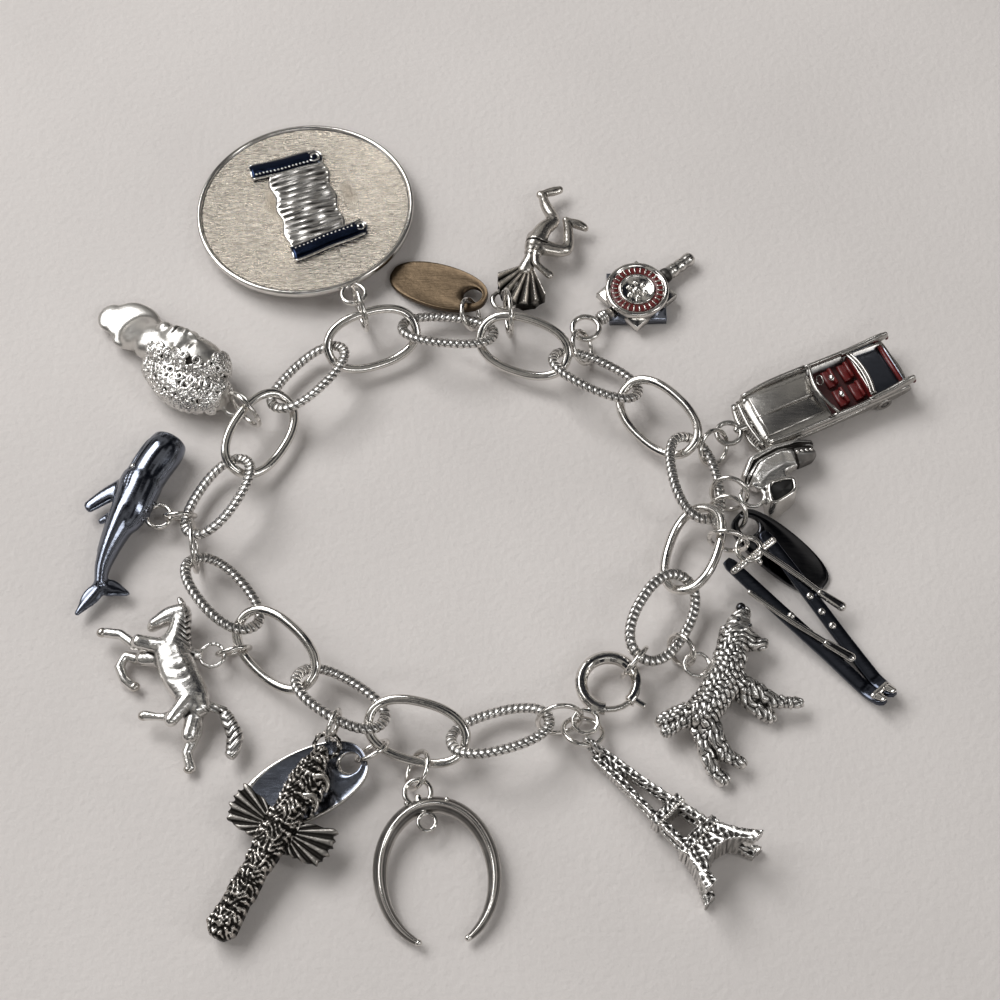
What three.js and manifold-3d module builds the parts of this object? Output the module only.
// A silver charm bracelet, lying closed on a level surface: sixteen links, ring-grooved and plain by turns,
// a spring ring clasp, and sixteen charms that hang outside the loop on jump rings.
// Millimetres, +Z up. The origin is the middle of the bracelet's footprint, on the surface that it lies on.

import * as THREE from 'three';
import { mergeVertices } from 'three/addons/utils/BufferGeometryUtils.js';
import Module from 'manifold-3d';

const wasm = await Module();
wasm.setup();

// Chain
const linkLength = 12.65; // outside, along the chain
const linkWidth = 7.9; // outside
const linkWire = 1.1;
const linkPlay = 0.5; // slack between the wires of two linked links
const crossingGap = 0.85; // air between two links' wires where one crosses over the other
const linkLift = 1.4; // the jump rings hold the links this far off the surface
const outlineSteps = 16;
const wireSides = 6;

// Rings
const ringWire = 0.6;
const ringPlay = 0.55; // slack of a ring round the two wires that it holds
const looseRingPlay = 1.1; // where the two wires lie far out of square
const ringSides = 5;
const ringSteps = 10;
const ringSpanLeast = 1.9; // between the middles of the two wires that a jump ring holds
const ringLevelLeast = 1.2; // the same in plan
const joinRingSpan = 3.4;
const largeRingSpan = 3.2;

// Spring ring clasp
const claspRadius = 3.3; // of the tube's centre line
const claspTube = 1.6;
const claspBore = 1.1;
const claspBoltWire = 0.8;
const claspMouth = 52; // degrees of the ring that the bolt closes
const claspSocket = 12; // degrees that the closed bolt reaches into the far end
const claspTail = 62; // degrees of bolt behind the mouth when closed
const claspTravel = 52; // degrees that the lever slides
const claspLever = 0.62; // across the lever
const claspLeverFrom = 11; // degrees from the mouth to the lever when closed
const claspLeverReach = 1.0; // beyond the tube
const claspHeight = 2.2; // centre of the tube over the surface

// Charms: overall lengths and thicknesses
const eyeRadius = 1.5; // of a charm's eye, to the middle of its wire
const eyeWire = 0.65;
const medallionDiameter = 28.6;
const medallionThick = 1.1;
const medallionRim = 0.9;
const scrollThick = 0.8;
const bronzeLength = 13.6;
const bronzeWidth = 6.6;
const tagThick = 0.75;
const darkLength = 12.2;
const darkWidth = 6.7;
const ovalLength = 15.8;
const ovalWidth = 8.4;
const tagHole = 1.25; // radius
const tagRim = 0.65; // metal between the hole and the end of a tag
const dancerLength = 19.6;
const sealDiameter = 8.2;
const sealPlate = 10.4; // across the corners of one square
const sealThick = 1.2;
const sealStem = 5.4;
const sealEye = 1.7; // its eye is larger than the others'
const sealNeck = 2.0; // height of its eye and neck
const carLength = 20.6;
const carWidth = 8.6;
const carHeight = 4.2;
const carWall = 0.7;
const carEye = 2.1;
const shoeLength = 9.6;
const skiLength = 23.6;
const skiWidth = 1.35;
const skiThick = 0.8;
const poleWire = 0.75;
const dogLength = 21;
const towerLength = 21.6;
const towerDepth = 0.62; // its thickness for each millimetre of width
const towerEye = 1.6; // centre of its eye, which stands on edge
const towerEyeRadius = 1.3;
const crescentLength = 18.6;
const crescentWidth = 14.6;
const crescentThick = 1.9;
const totemLength = 24.2;
const totemPole = 3.7;
const wingThick = 1.1;
const horseLength = 20.8;
const whaleLength = 25.4;
const bustLength = 19.6;

// Shared measures worked out from the sizes above
const degree = Math.PI / 180;
const halfLong = (linkLength - linkWire) / 2;
const halfWide = (linkWidth - linkWire) / 2;
const linkOverlap = linkWire + linkPlay;
const linkPitch = 2 * halfLong - linkOverlap;
const bluntness = 2.3; // exponent of the links' oval: over 2 has blunter ends than an ellipse
const crossingShare = (1 - (1 - linkOverlap / (2 * halfLong)) ** bluntness) ** (1 / bluntness);
const linkRoll = Math.asin((linkWire + crossingGap) / (2 * halfWide * crossingShare));
const linkHeight = linkLift + linkWire / 2 + halfWide * Math.sin(linkRoll);

const V = (x, y, z = 0) => new THREE.Vector3(x, y, z);
const heading = (angle) => V(Math.cos(angle), Math.sin(angle));
const leftOf = (v) => V(-v.y, v.x);

// Solids

// A body lofted through rings of equally many points. A closed loft joins its last ring to its first.
function loft(rings, closed = false) {
  const count = rings[0].length;
  const index = [];
  const stretches = closed ? rings.length : rings.length - 1;
  for (let i = 0; i < stretches; i += 1) {
    const here = i * count;
    const next = ((i + 1) % rings.length) * count;
    for (let j = 0; j < count; j += 1) {
      const k = (j + 1) % count;
      index.push(here + j, here + k, next + k, here + j, next + k, next + j);
    }
  }
  const last = (rings.length - 1) * count;
  for (let j = 1; j < count - 1 && !closed; j += 1) {
    index.push(0, j + 1, j, last, last + j, last + j + 1);
  }
  const geometry = new THREE.BufferGeometry();
  geometry.setAttribute('position', new THREE.Float32BufferAttribute(rings.flat().flatMap((p) => p.toArray()), 3));
  geometry.setIndex(index);
  return geometry;
}

// One oval section of a limb or wire: wide is half its width in plan, high half its thickness
function section(centre, direction, wide, high, sides, turn = 0) {
  const side = V(0, 0, 1).cross(direction).normalize();
  const up = direction.clone().normalize().cross(side);
  return Array.from({ length: sides }, (_, j) => {
    const angle = (2 * Math.PI * (j + 0.5)) / sides + turn;
    return centre.clone()
      .addScaledVector(side, wide * Math.cos(angle))
      .addScaledVector(up, high * Math.sin(angle));
  });
}

// A rounded limb through a table of sections with the columns
// along, across, height, half width, half thickness, all in hundredths of size
function limb(size, rows, sides = 6) {
  const points = rows.map(([x, y, z]) => V(x, y, z).multiplyScalar(size / 100));
  const rings = points.map((point, i) => {
    const direction = points[Math.min(i + 1, points.length - 1)].clone().sub(points[Math.max(i - 1, 0)]);
    return section(point, direction, (rows[i][3] * size) / 100, (rows[i][4] * size) / 100, sides);
  });
  const cap = (end, inner) => {
    const outward = points[end].clone().sub(points[inner]).normalize();
    const wide = (rows[end][3] * size) / 100;
    const high = (rows[end][4] * size) / 100;
    const direction = end === 0 ? outward.clone().negate() : outward;
    return section(points[end].clone().addScaledVector(outward, wide * 0.6), direction, wide * 0.5, high * 0.5, sides);
  };
  return loft([cap(0, 1), ...rings, cap(points.length - 1, points.length - 2)]);
}

// Gives manifold-3d a closed mesh with its shared corners merged
function solid(geometry) {
  const bare = geometry.clone();
  bare.deleteAttribute('normal');
  bare.deleteAttribute('uv');
  const merged = mergeVertices(bare, 1e-4);
  return new wasm.Manifold(new wasm.Mesh({
    numProp: 3,
    vertProperties: new Float32Array(merged.attributes.position.array),
    triVerts: new Uint32Array(merged.index.array),
  }));
}

const fuse = (geometries) => geometries.map(solid).reduce((sum, next) => sum.add(next));

function geometryOf(manifold) {
  const mesh = manifold.getMesh();
  const geometry = new THREE.BufferGeometry();
  geometry.setAttribute('position', new THREE.Float32BufferAttribute(mesh.vertProperties, 3));
  geometry.setIndex(Array.from(mesh.triVerts));
  return geometry;
}

// A flat ring around the Z axis
function flatRing(radius, wire, steps = ringSteps, sides = ringSides) {
  return new THREE.TorusGeometry(radius, wire / 2, sides, steps);
}

// A charm's eye at the origin of the charm's own frame
const eye = (height, radius = eyeRadius) => flatRing(radius, eyeWire).translate(0, 0, height);

const block = (long, wide, high) => new THREE.BoxGeometry(long, wide, high);
const round = (radius, high, sides) => new THREE.CylinderGeometry(radius, radius, high, sides).rotateX(Math.PI / 2);

// A flat plate from a table of corners, columns along and across, in hundredths of size
function plate(size, corners, thick) {
  const shape = new THREE.Shape(corners.map(([x, y]) => new THREE.Vector2((x * size) / 100, (y * size) / 100)));
  return new THREE.ExtrudeGeometry(shape, { depth: thick, bevelEnabled: false });
}

// Chain layout. The links' headings, in degrees, are the route that the chain lies in.
const longRoute = [63, 61, 50, 21, -6, -21, -30, -47, -81, -107, -120]; // links 6 to 16, clockwise
const shortRoute = [196, 164, 146, 136, 128]; // links 1 to 5
const joinHeading = 96; // from link 5 to link 6
const claspRoute = { hook: -134, ring: -113, large: 188 }; // from link 16 over the clasp to link 1

// How far apart in plan two wires lie when one ring holds both, and one is a drop lower than the other
const spanOf = (drop, least) => Math.max(least, Math.hypot(drop, ringLevelLeast));
const levelSpan = (drop, least = ringSpanLeast) => Math.sqrt(spanOf(drop, least) ** 2 - drop ** 2);

function walk(start, route, toSide) {
  const links = [];
  let pivot = start.clone();
  for (const angle of route) {
    const step = heading(angle * degree).multiplyScalar(linkPitch);
    links.push({ centre: pivot.clone().addScaledVector(step, 0.5), angle: angle * degree });
    pivot = pivot.clone().add(step);
  }
  links.forEach((link, i) => { link.roll = (i % 2 ? -toSide : toSide) * linkRoll; });
  return { links, end: pivot };
}

const tip = (link, sign) => link.centre.clone().addScaledVector(heading(link.angle), sign * halfLong);
const turned = (v, angle) => v.clone().applyAxisAngle(V(0, 0, 1), angle);

// Links 6 to 16 lie as their route says. The clasp, links 1 to 5 and the join ring then close the loop exactly,
// as the other two sides of a triangle, so it stays closed at every size of link.
const clasp = {
  hookSpan: levelSpan(linkHeight - claspHeight),
  eyeReach: claspRadius + claspTube / 2 + eyeRadius,
  largeSpan: levelSpan(linkHeight - claspHeight, largeRingSpan),
};
const longWalk = walk(V(0, 0), longRoute, -1);
const lastTip = tip(longWalk.links.at(-1), 1);
const firstTip = tip(longWalk.links[0], -1);
const hookStep = heading(claspRoute.hook * degree).multiplyScalar(clasp.hookSpan + claspRadius);
const eyeStep = heading(claspRoute.ring * degree).multiplyScalar(clasp.eyeReach);
const largeStep = heading(claspRoute.large * degree).multiplyScalar(eyeRadius + clasp.largeSpan);
const claspChord = hookStep.clone().add(eyeStep).add(largeStep);
const shortWalk = walk(V(0, 0), shortRoute, 1);
const joinStep = heading(joinHeading * degree).multiplyScalar(joinRingSpan);
const shortStart = tip(shortWalk.links[0], -1);
const shortChord = tip(shortWalk.links.at(-1), 1).sub(shortStart).add(joinStep);
const gap = firstTip.clone().sub(lastTip);
const angleOf = (v) => Math.atan2(v.y, v.x);
const [c, b, g] = [claspChord.length(), shortChord.length(), gap.length()];
const claspTurn = angleOf(gap) + Math.acos((c * c + g * g - b * b) / (2 * c * g)) - angleOf(claspChord);
const claspEnd = lastTip.clone().add(turned(claspChord, claspTurn));
const shortTurn = angleOf(firstTip.clone().sub(claspEnd)) - angleOf(shortChord);
for (const link of shortWalk.links) {
  link.centre = claspEnd.clone().add(turned(link.centre.clone().sub(shortStart), shortTurn));
  link.angle += shortTurn;
}
const links = [...shortWalk.links, ...longWalk.links];

// A point of a link's wire in the bracelet's frame, from its place along the link (-1 to 1) and its side
function wirePoint(link, along, side) {
  const forward = heading(link.angle);
  const outward = turned(V(0, Math.cos(link.roll), Math.sin(link.roll)), link.angle);
  const at = (share) => {
    const across = side * halfWide * (1 - Math.abs(share) ** bluntness) ** (1 / bluntness);
    return link.centre.clone().setZ(linkHeight)
      .addScaledVector(forward, share * halfLong).addScaledVector(outward, across);
  };
  const step = 0.02;
  return { point: at(along), tangent: at(along + step).sub(at(along - step)).normalize(), wire: linkWire };
}

function tipPoint(link, sign) {
  const tangent = turned(V(0, Math.cos(link.roll), Math.sin(link.roll)), link.angle);
  return { point: tip(link, sign).setZ(linkHeight), tangent, wire: linkWire };
}

// A ring round two wires. It leans until it clears the surface, to the side that lean says.
function ringThrough(a, b, lean = 1, play = ringPlay) {
  const wire = ringWire;
  const across = b.point.clone().sub(a.point);
  const radius = (across.length() + a.wire / 2 + b.wire / 2 + play + wire) / 2;
  const centre = a.point.clone().addScaledVector(across.normalize(), radius - (wire + a.wire + play) / 2);
  const same = a.tangent.dot(b.tangent) < 0 ? -1 : 1;
  const upright = a.tangent.clone().addScaledVector(b.tangent, same);
  upright.addScaledVector(across, -upright.dot(across)).normalize();
  const flat = across.clone().cross(upright);
  if (flat.z < 0) flat.negate();
  const room = Math.min(1, Math.max(0, (centre.z - wire / 2) / radius));
  const wanted = Math.sqrt(1 - room ** 2);
  const reach = Math.hypot(upright.z, flat.z);
  const turn = Math.abs(upright.z) >= wanted ? 0
    : Math.asin(Math.min(1, wanted / reach)) - lean * Math.atan2(upright.z, flat.z);
  const normal = upright.multiplyScalar(lean * Math.cos(turn)).addScaledVector(flat, Math.sin(turn));
  return { centre, normal, radius, wire };
}

// Meshes

const bracelet = new THREE.Group();
const finishes = {
  silver: new THREE.MeshStandardMaterial({ color: 0xc9c7c2, roughness: 0.25, metalness: 1 }),
  aged: new THREE.MeshStandardMaterial({ color: 0x8b8884, roughness: 0.4, metalness: 1 }),
  bronze: new THREE.MeshStandardMaterial({ color: 0x8a6f4c, roughness: 0.35, metalness: 1 }),
  dark: new THREE.MeshStandardMaterial({ color: 0x2b2b2e, roughness: 0.2, metalness: 1 }),
};

function add(name, geometry, finish, parent = bracelet) {
  const mesh = new THREE.Mesh(geometry, finishes[finish]);
  mesh.name = name;
  parent.add(mesh);
  return mesh;
}

function linkGeometry() {
  const points = Array.from({ length: outlineSteps }, (_, i) => {
    const angle = (2 * Math.PI * i) / outlineSteps;
    const bend = (value) => Math.sign(value) * Math.abs(value) ** (2 / bluntness);
    return V(halfLong * bend(Math.cos(angle)), halfWide * bend(Math.sin(angle)));
  });
  const rings = points.map((point, i) => {
    const before = points[(i + outlineSteps - 1) % outlineSteps];
    const after = points[(i + 1) % outlineSteps];
    return section(point, after.clone().sub(before), linkWire / 2, linkWire / 2, wireSides);
  });
  return loft(rings, true);
}

links.forEach((link, i) => {
  const mesh = add(`link_${String(i + 1).padStart(2, '0')}`, linkGeometry(), 'silver');
  mesh.position.copy(link.centre).setZ(linkHeight);
  mesh.rotation.set(link.roll, 0, link.angle, 'ZYX');
});

function addRing(name, ring, finish = 'silver') {
  const mesh = add(name, flatRing(ring.radius, ring.wire), finish);
  mesh.position.copy(ring.centre);
  mesh.quaternion.setFromUnitVectors(V(0, 0, 1), ring.normal.clone().normalize());
}

addRing('join_ring', ringThrough(tipPoint(links[4], 1), tipPoint(links[5], -1), 1, looseRingPlay));

// Clasp: a hollow ring with a mouth, a slot for the lever, and a soldered eye
const claspHook = turned(hookStep, claspTurn);
const claspEyeway = turned(eyeStep, claspTurn);
const claspCentre = lastTip.clone().add(claspHook).setZ(claspHeight);
const claspEyeAt = claspCentre.clone().add(claspEyeway);
const arcStep = 15;

// A stretch of the clasp's round wire from one angle to another, in degrees
function arc(from, to, wire, sides) {
  const steps = Math.max(2, Math.round((to - from) / arcStep));
  const rings = Array.from({ length: steps + 1 }, (_, i) => {
    const angle = (from + ((to - from) * i) / steps) * degree;
    return section(heading(angle).multiplyScalar(claspRadius), leftOf(heading(angle)), wire / 2, wire / 2, sides);
  });
  return loft(rings);
}

const claspSides = 8;
const mouthEnd = claspMouth; // the mouth runs from 0 to here; the bolt slides back from it
const caseEnd = 360;
const boltStart = mouthEnd + claspTail;
const leverAt = mouthEnd + claspLeverFrom;
const claspCase = solid(arc(mouthEnd, caseEnd, claspTube, claspSides))
  .subtract(solid(arc(mouthEnd - 1, boltStart + claspTravel + 4, claspBore, claspSides)))
  .subtract(solid(arc(caseEnd - claspSocket - 5, caseEnd + 1, claspBore, claspSides)));
const slotClear = 0.2;
const leverHalf = (claspLever / 2 + slotClear) / claspRadius / degree;
const slotCuts = [];
for (let angle = leverAt - leverHalf; angle < leverAt + claspTravel + leverHalf; angle += arcStep / 2) {
  slotCuts.push(angle);
}
const slotWall = claspTube / 2 + 0.3;
const slot = loft([...slotCuts, leverAt + claspTravel + leverHalf].map((angle) => {
  const out = heading(angle * degree);
  const half = claspLever / 2 + slotClear;
  return [V(claspRadius, -half), V(claspRadius, half), V(claspRadius + slotWall, half), V(claspRadius + slotWall, -half)]
    .map((p) => out.clone().multiplyScalar(p.x).setZ(p.y));
}));
const slotSolid = solid(slot);
const claspFrame = new THREE.Group();
claspFrame.position.copy(claspCentre);
claspFrame.rotation.z = angleOf(claspEyeway);
bracelet.add(claspFrame);
const mouthTurn = 22; // degrees from the eye to the start of the mouth, round the ring
const caseTurned = new THREE.Group();
caseTurned.rotation.z = mouthTurn * degree;
claspFrame.add(caseTurned);
const claspEyeSolid = solid(flatRing(eyeRadius, eyeWire).translate(clasp.eyeReach, 0, 0).rotateZ(-mouthTurn * degree));
add('clasp_case', geometryOf(claspCase.subtract(slotSolid).add(claspEyeSolid)), 'silver', caseTurned);
const lever = block(claspTube / 2 + claspLeverReach, claspLever, claspLever)
  .translate(claspRadius + (claspTube / 2 + claspLeverReach) / 2, 0, 0).rotateZ(leverAt * degree);
const bolt = solid(arc(-claspSocket, boltStart, claspBoltWire, claspSides)).add(solid(lever));
add('clasp_bolt', geometryOf(bolt), 'silver', caseTurned);

const claspGrip = {
  point: lastTip.clone().addScaledVector(heading(angleOf(claspHook)), clasp.hookSpan).setZ(claspHeight),
  tangent: leftOf(heading(angleOf(claspHook))),
  wire: claspTube,
};
addRing('hook_ring', ringThrough(tipPoint(links[15], 1), claspGrip));
const largeWay = turned(largeStep, claspTurn).normalize();
const eyeGrip = {
  point: claspEyeAt.clone().addScaledVector(largeWay, eyeRadius),
  tangent: leftOf(largeWay),
  wire: eyeWire,
};
const largeRing = ringThrough(eyeGrip, tipPoint(links[0], -1), -1);
addRing('large_ring', largeRing);

// Charms. Each builder gives a solid in the charm's own frame: its eye is at the origin,
// +X points away from the chain, and the surface is Z = 0.

function ovalTag(long, wide) {
  const shape = new THREE.Shape();
  const back = tagHole + tagRim;
  const count = 16;
  for (let i = 0; i < count; i += 1) {
    const angle = (2 * Math.PI * i) / count;
    const x = (long / 2) * Math.cos(angle) + long / 2 - back;
    const y = (wide / 2) * Math.sign(Math.sin(angle)) * Math.abs(Math.sin(angle)) ** 0.8;
    if (i) shape.lineTo(x, y); else shape.moveTo(x, y);
  }
  const hole = new THREE.Path();
  hole.absarc(0, 0, tagHole, 0, 2 * Math.PI, true);
  shape.holes.push(hole);
  return solid(new THREE.ExtrudeGeometry(shape, { depth: tagThick, bevelEnabled: false, curveSegments: 8 }));
}

const scrollTurn = 17; // degrees, of the scroll's rolls on the photo's level

function medallion(angle) {
  const radius = medallionDiameter / 2;
  const centre = radius + eyeRadius - 0.1;
  const sides = 30;
  const profile = [[0, 0], [1, 0], [1, 1], [1 - medallionRim / radius, 1], [1 - (medallionRim * 1.15) / radius, 0.72], [0, 0.72]];
  const disc = new THREE.LatheGeometry(profile.map(([r, z]) => new THREE.Vector2(r * radius, z * medallionThick)), sides)
    .rotateX(Math.PI / 2);
  const field = 0.72 * medallionThick;
  const turn = scrollTurn * degree - angle;
  // columns: along and across the medallion, in hundredths of its radius
  const sheet = plate(radius, [[-24, -38], [34, -22], [31, 36], [-27, 32]], scrollThick + 0.2);
  const roll = (x, y, long, wide) => {
    const half = (long * radius) / 200;
    const section1 = (at) => section(V(at, (y * radius) / 100, 0), V(1, 0), (wide * radius) / 100, scrollThick, 8);
    return loft([-half, half].map((at) => section1(at + (x * radius) / 100)));
  };
  const relief = [
    sheet.translate(0, 0, -0.2),
    roll(-12, 46, 70, 7.5),
    roll(22, -36, 68, 7.5),
    round((9 * radius) / 100, scrollThick * 2, 10).translate((12 * radius) / 100, (42 * radius) / 100, 0),
  ].map((piece) => piece.rotateZ(turn).translate(centre, 0, field));
  const body = solid(disc.translate(centre, 0, 0));
  const above = solid(block(4 * radius, 4 * radius, 4).translate(centre, 0, 2 + field / 2));
  return relief.map(solid).reduce((sum, next) => sum.add(next.intersect(above)), body)
    .add(solid(eye(medallionThick / 2)));
}

function dancer() {
  const size = dancerLength;
  const skirt = (() => {
    const pleats = 7;
    const hem = [];
    const waist = [];
    for (let i = 0; i <= 2 * pleats; i += 1) {
      const share = i / (2 * pleats);
      const deep = i % 2 ? 100 : 92;
      const angle = (-118 + 106 * share - 38) * degree;
      hem.push([29 + 0.33 * deep * Math.cos(angle), 1 + 0.33 * deep * Math.sin(angle)]);
      waist.unshift([31 + 7 * Math.cos(angle), -1 + 7 * Math.sin(angle)]);
    }
    return plate(size, [...hem, ...waist], 0.13 * size);
  })();
  return fuse([
    eye(0.9),
    skirt.translate(0, 0, 0.1),
    limb(size, [[27, -2, 9, 9, 7], [38, -2, 10, 7, 6], [49, 0, 11, 8, 7], [56, 1, 10, 6, 5]]),
    limb(size, [[49, 1, 10, 7, 6], [60, 1, 9, 6, 5], [70, -1, 8, 4.2, 4], [80, 9, 7, 3.4, 3.2], [88, 15, 6, 2.8, 2.8]]),
    limb(size, [[87, 17, 6, 3.2, 3], [92, 13, 5, 3.4, 3.2], [97, 7, 4, 3, 2.6]]),
    limb(size, [[49, -4, 10, 6, 6], [52, -13, 8, 4.8, 4.5], [53, -20, 7, 3.8, 3.8], [64, -17, 6, 3, 3], [73, -12, 5, 2.8, 2.8]]),
    limb(size, [[74, -10, 5, 3, 3], [76, -16, 4.5, 3, 3], [77, -22, 4, 2.8, 2.6]]),
    limb(size, [[42, -3, 12, 3.6, 3.6], [32, -12, 10, 3.2, 3.2], [34, -22, 8, 2.8, 2.8], [34, -27, 7, 2.6, 2.6], [28, -30, 5, 2.6, 2.6]]),
    limb(size, [[7, 0, 5, 4, 3.4], [18, 0, 7, 6, 5]]),
  ]);
}

function seal() {
  const neck = sealEye + 1.1;
  const centre = neck + 0.6 + sealPlate / 2;
  const stem = centre + sealPlate / 2 - 0.8;
  const square = (turn) => plate(sealPlate, [0, 1, 2, 3].flatMap((i) => [
    [50 * Math.cos((i * 90 + turn) * degree), 50 * Math.sin((i * 90 + turn) * degree)],
    [36 * Math.cos((i * 90 + 45 + turn) * degree), 36 * Math.sin((i * 90 + 45 + turn) * degree)],
  ]), sealThick);
  const radius = sealDiameter / 2;
  const profile = [[0, 0], [1, 0], [1, 1], [0.86, 1], [0.8, 0.7], [0.56, 0.7], [0.5, 1], [0, 1.15]];
  const face = new THREE.LatheGeometry(profile.map(([r, z]) => new THREE.Vector2(r * radius, z * sealThick)), 18)
    .rotateX(Math.PI / 2);
  return fuse([
    eye(sealNeck, sealEye),
    square(8).translate(centre, 0, 0),
    square(50).translate(centre, 0, sealThick * 0.5),
    face.translate(centre, 0, sealThick * 1.5 - 0.01),
    limb(sealPlate, [[0, 0, 19, 9, 9], [7, 0, 18, 9, 9], [18, 0, 11, 10, 7]]).translate(neck - 0.5, 0, 0),
    limb(sealStem, [[0, 0, 25, 14, 13], [24, 0, 24, 14, 13], [30, 0, 24, 10, 10], [42, 0, 23, 14, 14],
      [68, 0, 22, 13, 13], [78, 0, 22, 9, 9], [90, 0, 22, 16, 15]]).translate(stem, 0, 0),
  ]);
}

function car() {
  const front = 3.2;
  const half = carWidth / 2;
  const waistline = carHeight * 0.72;
  // columns: along in hundredths of the length, half width and height in hundredths of their own size
  const body = (rows) => loft(rows.map(([along, wide, low, high]) => {
    const x = front + (along * carLength) / 100;
    const y = (wide * half) / 100;
    const low1 = (low * carHeight) / 100;
    const top = (high * carHeight) / 100;
    return [V(x, -y * 0.88, low1), V(x, y * 0.88, low1), V(x, y, low1 + (top - low1) * 0.35),
      V(x, y, low1 + (top - low1) * 0.75), V(x, y * 0.8, top), V(x, -y * 0.8, top),
      V(x, -y, low1 + (top - low1) * 0.75), V(x, -y, low1 + (top - low1) * 0.35)];
  }));
  const shell = body([[0, 86, 14, 58], [3, 96, 8, 70], [10, 100, 6, 74], [45, 98, 5, 76], [80, 94, 6, 74], [96, 84, 10, 70],
    [100, 80, 14, 66]]);
  const cockpit = block(carLength * 0.24, carWidth - 2 * carWall - 1.1, carHeight)
    .translate(front + carLength * 0.61, 0, waistline + carHeight * 0.08);
  const seat = (side) => fuse([
    block(1.5, 1.9, 1.3).translate(front + carLength * 0.6, side * 1.5, waistline - carHeight * 0.32),
    block(0.7, 1.9, 1.9).translate(front + carLength * 0.66, side * 1.5, waistline - carHeight * 0.22),
  ]);
  const fin = (side) => loft([[60, 0.66, 0.3], [85, 0.86, 0.42], [104, 1.02, 0.4]].map(([along, top, thick]) => {
    const x = front + (along * carLength) / 100;
    const y = side * half * 0.86;
    const low1 = carHeight * 0.3;
    return [V(x, y - thick, low1), V(x, y + thick, low1), V(x, y + thick * 0.5, carHeight * top),
      V(x, y - thick * 0.5, carHeight * top)];
  }));
  const bumper = (at, thick) => block(thick, carWidth * 0.9, carHeight * 0.2).translate(at, 0, carHeight * 0.22);
  const screen = loft([-1, -0.5, 0.5, 1].map((share) => {
    const y = share * (half - carWall);
    const x = front + carLength * (0.49 - 0.05 * (1 - share ** 2));
    return section(V(x, y, waistline + carHeight * (0.33 - 0.14 * share ** 2)), V(0, 1), 0.3, 0.3, 6);
  }));
  const post = (side) => loft([0, 1].map((share) => {
    const x = front + carLength * 0.49;
    const y = side * (half - carWall);
    return [[-1, -1], [1, -1], [1, 1], [-1, 1]].map(([i, j]) => V(x + 0.3 * i, y + 0.3 * j,
      waistline - 0.4 + share * (carHeight * 0.19 + 0.4)));
  }));
  const wheel = (along, side) => round(carHeight * 0.24, 0.9, 10).rotateX(Math.PI / 2)
    .translate(front + (along * carLength) / 100, side * (half - 0.5), carHeight * 0.24);
  const hollow = solid(shell).subtract(solid(cockpit)).add(seat(1)).add(seat(-1));
  const pieces = [fin(1), fin(-1), bumper(front - 0.1, 0.9), bumper(front + carLength, 0.7), screen, post(1), post(-1),
    wheel(17, 1), wheel(17, -1), wheel(82, 1), wheel(82, -1),
    block(2.6, 1.2, 0.8).translate(2.4, 0, carEye), eye(carEye)];
  return pieces.map(solid).reduce((sum, next) => sum.add(next), hollow);
}

function shoe() {
  const size = shoeLength;
  const sole = limb(size, [[8, 24, 22, 7, 17], [30, 38, 22, 7, 20], [62, 33, 22, 7, 22], [92, 22, 22, 7, 21], [108, 12, 22, 7, 14]], 8);
  const upper = limb(size, [[17, 12, 24, 15, 19], [38, 18, 26, 19, 22], [62, 16, 26, 17, 22], [86, 8, 24, 14, 19], [100, 2, 22, 10, 14]], 8);
  const ankle = limb(size, [[40, 6, 28, 17, 20], [30, -18, 30, 17, 19]], 8);
  const opening = limb(size, [[32, -14, 30, 12, 14], [24, -40, 30, 12, 14]], 8);
  return fuse([sole, upper, ankle]).subtract(solid(opening))
    .add(solid(eye(2.6))).add(solid(limb(size, [[16, 8, 26, 5, 5], [26, 14, 25, 7, 8]])));
}

function skis() {
  const size = skiLength;
  const flat = skiThick / 2;
  const ski = (side) => loft([[-3, 12, 0.7], [30, 9, 1], [62, 5.6, 1], [86, 3.6, 1.05], [94, 3.4, 1.1], [98, 3.2, 0.8]]
    .map(([along, across, wide], i) => {
      const lift = i > 3 ? (i - 3) ** 2 * 0.16 : 0;
      return section(V((along * size) / 100, (side * across * size) / 100, flat + lift), V(1, -side * 0.1),
        (wide * skiWidth) / 1.6, flat * 1.1, 6);
    }));
  const pole = (rows) => limb(size, rows, 5);
  const poleHigh = ((2 * flat + poleWire / 2 - 0.12) / size) * 100;
  const thin = ((poleWire / 2) / size) * 100;
  return fuse([
    ski(1), ski(-1),
    pole([[2, 11, poleHigh, thin, thin], [28, 13, poleHigh, thin, thin], [41, 14.5, poleHigh, thin, thin]]),
    limb(size, [[39, 14, poleHigh - 1, 3, 2.4], [52, 17, poleHigh - 1.4, 2.6, 2.2]]),
    pole([[6, -12, poleHigh, thin, thin], [36, -9, poleHigh, thin, thin], [66, -4, poleHigh, thin, thin]]),
    limb(size, [[63, -4.5, poleHigh - 0.4, 3, 2.4], [77, -1, poleHigh - 0.4, 2.6, 2.2]]),
    limb(size, [[92, -5, 3, 2.2, 1.6], [92, 5, 3, 2.2, 1.6]]),
    limb(size, [[4, -14, 2.4, 2.4, 2.1], [4, 14, 2.4, 2.4, 2.1]]),
    eye(1.0),
    block(1.1, 1, 1).translate(1.5, 0, 0.75),
  ]);
}

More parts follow.
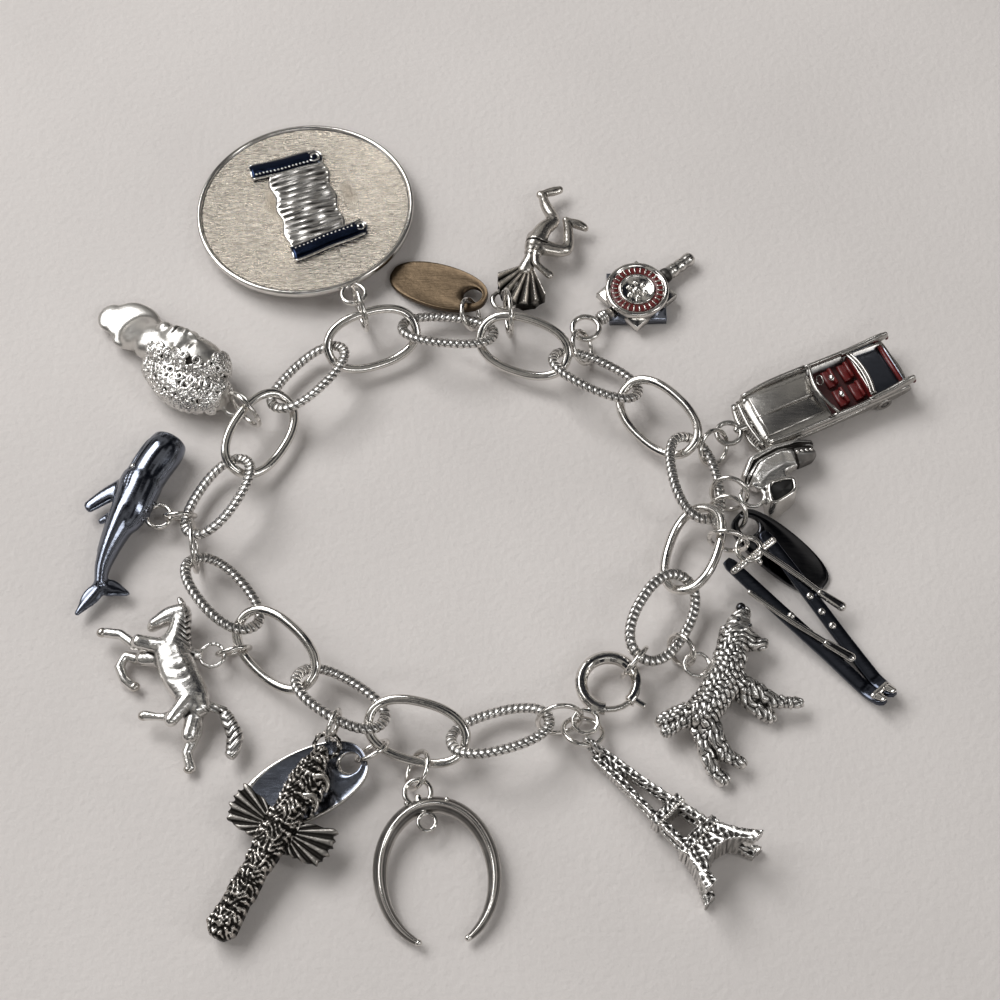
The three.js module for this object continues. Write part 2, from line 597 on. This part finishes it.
function dog() {
  const size = dogLength;
  return fuse([
    eye(2.2),
    limb(size, [[7, 0, 10.5, 3, 3.4], [15, -2, 12, 5, 5]]),
    limb(size, [[12, 18, 13, 8, 8], [15, 9, 13, 9.5, 9.5], [19, -2, 12, 10.5, 11], [21, -14, 12, 10, 10.5], [20, -24, 12, 8.5, 9]], 8),
    limb(size, [[8, 18, 13, 7.5, 8], [4, 26, 13, 8.5, 9], [5, 33, 13, 8, 8.5]], 8),
    limb(size, [[1, 32, 14, 5, 5.5], [-1, 40, 13, 4.4, 5]]),
    limb(size, [[8, 30, 12, 6, 7], [15, 33, 10, 4.5, 5]]),
    limb(size, [[6, 22, 15, 5, 4], [13, 17, 14, 4.5, 4]]),
    limb(size, [[22, 6, 13, 6.5, 6], [35, 10, 12, 5, 5], [46, 12, 11, 4, 4], [57, 22, 9, 3, 3.2]]),
    limb(size, [[22, 4, 9, 5.5, 5], [38, 4, 7, 4.8, 4.5], [50, 6, 5, 4.4, 4]]),
    limb(size, [[23, -20, 13, 7, 6.5], [36, -26, 12, 5.4, 5.4], [46, -30, 10, 4.4, 4.4], [56, -27, 8, 3.8, 3.6]]),
    limb(size, [[24, -26, 9, 6.5, 6], [38, -35, 7, 5, 5], [47, -40, 5.5, 4.4, 4.2], [55, -40, 5, 4, 3.8]]),
    limb(size, [[19, -26, 12, 4.6, 4.6], [16, -35, 11, 3.8, 3.8], [14, -43, 10, 3.4, 3.4]]),
  ]);
}

function tower() {
  const size = towerLength;
  // columns: along, and half the tower's width there, in hundredths of the length
  const profile = [[3, 4.5], [30, 6], [52, 8.2], [55, 9], [73, 10.6], [78, 12.5], [88, 16], [100, 22.5]];
  const frame = (rows, grow) => loft(rows.map(([along, half]) => {
    const x = (along * size) / 100;
    const y = (half * size * grow) / 100;
    const z = (half * size * towerDepth * grow) / 100;
    return [V(x, y, -z), V(x, y, z), V(x, -y, z), V(x, -y, -z)];
  }));
  const whole = solid(frame(profile, 1));
  const window = (from, to, halfFrom, halfTo, wide = 30) => {
    const level = loft([[from, halfFrom], [to, halfTo]].map(([along, half]) => {
      const x = (along * size) / 100;
      const y = (half * size) / 100;
      return [V(x, y, -wide), V(x, y, wide), V(x, -y, wide), V(x, -y, -wide)];
    }));
    const upright = loft([[from, halfFrom], [to, halfTo]].map(([along, half]) => {
      const x = (along * size) / 100;
      const z = (half * size * towerDepth) / 100;
      return [V(x, wide, -z), V(x, wide, z), V(x, -wide, z), V(x, -wide, -z)];
    }));
    return solid(level).add(solid(upright));
  };
  const arch = solid(round(0.145 * size, 60, 12).translate(1.01 * size, 0, 0))
    .add(solid(round(0.09 * size, 60, 10).rotateX(Math.PI / 2).translate(1.01 * size, 0, 0)));
  const band = (along, half) => block(0.045 * size, (2 * half * size) / 100, (2 * towerDepth * half * size) / 100)
    .translate((along * size) / 100, 0, 0);
  const cut = whole
    .subtract(window(24, 50, 1.6, 4.4))
    .subtract(window(57, 71, 4.6, 6))
    .subtract(arch)
    .add(solid(band(53, 10.2)))
    .add(solid(band(75, 13)));
  // It lies on the edge of its top and the tips of two feet
  const [first, foot] = [profile[0], profile.at(-1)];
  const fallen = cut.rotate(0, -Math.atan2((foot[1] - first[1]) * towerDepth, foot[0] - first[0]) / degree, 0);
  return fallen.translate(0, 0, -fallen.boundingBox().min[2])
    .add(solid(flatRing(towerEyeRadius, eyeWire).rotateX(Math.PI / 2).translate(0, 0, towerEye)));
}

function crescent() {
  const count = 13;
  const openAngle = 24; // degrees on each side of the downward axis
  const centre = V(crescentLength * 0.52, crescentWidth * 0.09);
  const rings = Array.from({ length: count }, (_, i) => {
    const share = i / (count - 1);
    const angle = (180 - (180 - openAngle) + 2 * (180 - openAngle) * share) * degree;
    const at = (turn) => centre.clone().add(V((crescentLength * 0.44) * Math.cos(turn), (crescentWidth * 0.44) * Math.sin(turn)));
    const bulk = 0.35 + 0.65 * Math.sin(Math.PI * share) ** 0.6;
    const direction = at(angle + 0.01).sub(at(angle - 0.01));
    return section(at(angle).setZ(crescentThick * 0.5), direction, crescentThick * 0.5 * bulk, crescentThick * 0.5 * bulk, 8);
  });
  const crown = centre.x - crescentLength * 0.44;
  return fuse([
    loft(rings),
    eye(crescentThick * 0.5),
    flatRing(1.0, 0.5).translate(crown + 2.0, crescentWidth * 0.05, crescentThick * 0.5),
    block(1.1, 1.1, 1).translate(eyeRadius + 0.2, 0, crescentThick * 0.5),
  ]);
}

function totem() {
  const size = totemLength;
  const half = (totemPole / 2 / size) * 100;
  const wing = (side) => {
    const ribs = 6;
    const hinge = [46, side * 5];
    const corners = [];
    for (let i = 0; i <= 2 * ribs; i += 1) {
      const share = i / (2 * ribs);
      const angle = (118 - 62 * share) * degree;
      const deep = i % 2 ? 27 : 24.5;
      corners.push([hinge[0] + deep * Math.cos(angle) - 4, side * (4 + deep * Math.sin(angle))]);
    }
    corners.push([54, side * 2], [40, side * 2]);
    return plate(size, side > 0 ? corners : corners.reverse(), wingThick).translate(0, 0, half * size / 100 * 0.5);
  };
  return fuse([
    eye(1.5),
    limb(size, [[4, 0, half, 4, 4.5], [14, 0, half, half, half * 0.9], [22, 0, half, half * 1.1, half], [36, 0, half, half, half],
      [50, 0, half, half * 1.08, half], [64, 0, half, half * 0.95, half], [66, 0, half, half * 0.84, half * 0.9],
      [80, 0, half, half, half], [82, 0, half, half * 0.88, half * 0.9], [98, 0, half, half * 1.06, half]], 8),
    wing(1), wing(-1),
    limb(size, [[18, 4, half * 1.3, 3, 3], [17, 9, half * 1.2, 2.2, 2.2], [20, 11, half * 1.1, 1.6, 1.8]]),
    limb(size, [[28, 4, half * 1.3, 3, 3], [27, 9, half * 1.2, 2.2, 2.2], [30, 11, half * 1.1, 1.6, 1.8]]),
  ]);
}

function horse() {
  const size = horseLength;
  return fuse([
    eye(2.1),
    limb(size, [[7, -1, 10, 3, 3.6], [15, -4, 11, 4.4, 5]]),
    limb(size, [[13, -27, 12, 4.6, 4.4], [15, -20, 12, 5.6, 5], [17, -12, 12, 7, 6.6], [19, -4, 12, 9, 8]], 8),
    limb(size, [[22, -6, 12, 8.5, 8.5], [19, 6, 12, 9.5, 9.5], [15, 17, 12, 8.4, 9], [11, 26, 12, 7.2, 8], [9, 32, 11, 5, 6]], 8),
    limb(size, [[12, -29, 12, 4.4, 4.6], [19, -27, 12, 4.2, 4.6], [27, -24.5, 11, 3, 3.6], [33, -22, 10, 2.6, 3]]),
    limb(size, [[13, -31, 13, 1.8, 1.6], [15, -36, 14, 1.3, 1.2]]),
    limb(size, [[25, -5, 15, 5, 4.4], [33, -9, 15, 3.4, 3.2], [43, -12, 14, 2.6, 2.6], [50, -20, 12, 2.2, 2.4], [59, -23.5, 10, 2.2, 2.4]]),
    limb(size, [[26, 0, 9, 5, 4.4], [38, -4, 7, 3.2, 3], [49, -9, 6, 2.6, 2.6], [53, -3, 6, 2.4, 2.4], [51, 5, 5, 2.2, 2.4],
      [46, 10, 4, 2.4, 2.4]]),
    limb(size, [[13, 29, 14, 4.6, 4.4], [23, 34, 14, 3.2, 3.2], [31, 34.5, 13, 2.4, 2.4], [41, 31, 11, 2.2, 2.4]]),
    limb(size, [[11, 31, 9, 4.4, 4.4], [14, 45, 8, 3.2, 3.2], [20, 55, 6, 2.4, 2.4], [19, 64, 4, 2.6, 2.6]]),
    limb(size, [[8, 29, 11, 3, 3], [-3, 35, 10, 3, 3], [-8, 46, 9, 3.4, 3.2], [-4, 56, 8, 2.6, 2.6]]),
  ]);
}

function whale() {
  const size = whaleLength;
  const fluke = plate(size, [[12, 44], [25, 42], [32, 56], [27, 62], [21, 55], [12, 54], [3, 46], [4, 42]], 0.06 * size);
  return fuse([
    eye(2.1),
    limb(size, [[6, -3, 8.4, 3, 3], [13, -5, 9, 4, 4]]),
    limb(size, [[11, -35, 10, 8, 8.5], [15, -27, 10, 9.5, 10], [18, -16, 10, 9.5, 10], [20, -5, 10, 9.5, 10], [22, 7, 9, 8.5, 9],
      [23, 18, 8, 6.6, 7.4], [23, 28, 7.5, 4.8, 6], [21.5, 38, 7, 3.2, 4.4], [19, 46, 6.5, 3, 3.6]], 8),
    fluke.translate(0, 0, 0.03 * size),
    limb(size, [[28, -8, 10, 4.6, 2.4], [36, -5, 8, 3.8, 2], [43, 3, 6, 2.6, 1.8]]),
    limb(size, [[29, 0, 9, 2.6, 2.4], [34, 6, 8, 1.6, 2]]),
  ]);
}

function bust() {
  const size = bustLength;
  // The shoulders and neck, then a plain head with hair: along the neck axis, which points away from the eye
  return fuse([
    eye(2.2),
    limb(size, [[6, 1, 12, 4, 4], [16, 0, 14, 8, 8]]),
    plate(size, [[80, 12], [90, 14], [106, 9], [113, -2], [108, -13], [96, -24], [84, -22], [76, -8]], 0.16 * size)
      .translate(0, 0, 0.03 * size),
    limb(size, [[62, -4, 15, 13, 12], [74, -3, 14, 14, 11], [84, -3, 12, 16, 9]], 8),
    limb(size, [[14, -6, 17, 12, 11], [26, -7, 18, 20, 16], [42, -8, 18, 22, 17], [56, -10, 17, 19, 16], [66, -12, 16, 14, 13],
      [72, -13, 16, 9, 9]], 10),
    limb(size, [[12, 2, 15, 11, 11], [24, 8, 16, 15, 14], [40, 12, 16, 15, 14], [54, 13, 15, 12, 12], [64, 12, 14, 8, 9]], 8),
    limb(size, [[52, -28, 21, 3.5, 4], [56, -31, 20, 2.6, 3.2]]),
  ]);
}

// Where each charm hangs. along and side place its jump ring on the link, reach is the ring's heading,
// heading is the charm's own, both in degrees; eye is the height of the charm's eye, pitch lifts that end.
const charms = [
  { name: 'scroll_medallion', build: (own) => medallion(own.heading * degree), finish: 'silver', link: 9, along: 0, reach: 109,
    span: 4, heading: 116, eye: medallionThick / 2, length: medallionDiameter + eyeRadius, pitch: 4.5 },
  { name: 'bronze_tag', build: () => ovalTag(bronzeLength, bronzeWidth), finish: 'bronze', link: 10, along: 0.42, reach: 84,
    span: 2.1, heading: 156, eye: tagThick / 2, hole: true, length: bronzeLength - tagHole - tagRim, pitch: 8 },
  { name: 'dancer_charm', build: dancer, finish: 'aged', link: 11, along: -0.5, reach: 100, span: 4, heading: 63, eye: 0.9,
    length: dancerLength, pitch: 4 },
  { name: 'seal_charm', build: seal, finish: 'aged', link: 12, along: -0.6, reach: 80, span: 2.4, heading: 39, eye: sealNeck,
    eyeSize: sealEye },
  { name: 'car_charm', build: car, finish: 'silver', link: 14, along: -0.66, reach: 47, span: 2.6, heading: 25,
    eye: carEye },
  { name: 'shoe_charm', build: shoe, finish: 'aged', link: 14, along: 0.3, reach: -10, span: 2.5, heading: 37, eye: 2.6 },
  { name: 'dark_tag', build: () => ovalTag(darkLength, darkWidth), finish: 'dark', link: 14, along: 0.7, reach: -32,
    span: 2.5, heading: -40, play: 0.75, eye: tagThick / 2, hole: true, length: darkLength - tagHole - tagRim, pitch: 8.5 },
  { name: 'ski_charm', build: skis, finish: 'aged', link: 15, along: -0.3, reach: -15, span: 2.6, heading: -50, eye: 1.0,
    length: skiLength, pitch: 6.5 },
  { name: 'dog_charm', build: dog, finish: 'silver', link: 16, along: 0.3, reach: -48, heading: -43, eye: 2.2 },
  { name: 'crescent_charm', build: crescent, finish: 'silver', link: 2, along: -0.15, reach: -88, span: 2.6, heading: -84,
    eye: crescentThick / 2, length: crescentLength, pitch: 5 },
  { name: 'totem_charm', build: totem, finish: 'aged', link: 3, along: -0.25, reach: -108, heading: -118, eye: 1.5,
    length: totemLength, pitch: 6 },
  { name: 'totem_tag', build: () => ovalTag(ovalLength, ovalWidth), finish: 'dark', link: 2, along: 0.66, reach: 212,
    span: 2.3, heading: -155, play: 0.7, eye: tagThick / 2, hole: true, length: ovalLength - tagHole - tagRim, pitch: 7 },
  { name: 'horse_charm', build: horse, finish: 'aged', link: 4, along: 0.62, reach: 192, heading: -171, eye: 2.1 },
  { name: 'whale_charm', build: whale, finish: 'dark', link: 6, along: -0.6, reach: 180, heading: 167, eye: 2.1 },
  { name: 'bust_charm', build: bust, finish: 'silver', link: 7, along: 0.3, reach: 130, span: 2.9, heading: 144, eye: 2.2 },
];

function hang(charm, host) {
  const own = charm.hole ? tagHole + tagRim / 2 : charm.eyeSize ?? eyeRadius;
  const ownWire = charm.hole ? tagRim : eyeWire;
  const pitch = (charm.pitch ?? 0) * degree;
  const long = charm.length ?? 0;
  const eyeHeight = charm.eye * Math.cos(pitch) + long * Math.sin(pitch);
  const way = heading(charm.reach * degree);
  const span = levelSpan(host.point.z - eyeHeight, charm.span);
  const grip = {
    point: host.point.clone().addScaledVector(way, span).setZ(eyeHeight),
    tangent: charm.onEdge ? V(0, 0, 1) : leftOf(way),
    wire: ownWire,
  };
  const slip = long * (1 - Math.cos(pitch)) + charm.eye * Math.sin(pitch);
  const centre = grip.point.clone().addScaledVector(way, own).addScaledVector(heading(charm.heading * degree), -slip);
  addRing(charm.name.replace(/_charm$|$/, '_ring'), ringThrough(host, grip, 1, charm.play));
  const frame = new THREE.Group();
  frame.position.set(centre.x, centre.y, 0);
  frame.rotation.z = charm.heading * degree;
  const tilted = new THREE.Group();
  tilted.position.x = long;
  tilted.rotation.y = pitch;
  frame.add(tilted);
  bracelet.add(frame);
  const mesh = add(charm.name, geometryOf(charm.build(charm)), charm.finish, tilted);
  mesh.position.x = -long;
}

for (const charm of charms) {
  hang(charm, wirePoint(links[charm.link - 1], charm.along, 1));
}

// The tower hangs from the large ring at the clasp
const towerCharm = { name: 'tower_charm', build: tower, finish: 'aged', reach: -62, span: 2.4, heading: -44, eye: towerEye,
  eyeSize: towerEyeRadius, onEdge: true, play: looseRingPlay, length: towerLength, pitch: 2 };
const largeOut = heading(towerCharm.reach * degree);
const largeFlat = largeOut.clone().addScaledVector(largeRing.normal, -largeOut.dot(largeRing.normal)).normalize();
hang(towerCharm, {
  point: largeRing.centre.clone().addScaledVector(largeFlat, largeRing.radius),
  tangent: largeRing.normal.clone().cross(largeFlat),
  wire: ringWire,
});

// The origin is the middle of the footprint, on the surface
bracelet.updateMatrixWorld(true);
const extent = new THREE.Box3().setFromObject(bracelet, true);
bracelet.position.set(-(extent.min.x + extent.max.x) / 2, -(extent.min.y + extent.max.y) / 2, -extent.min.z);

export default bracelet;
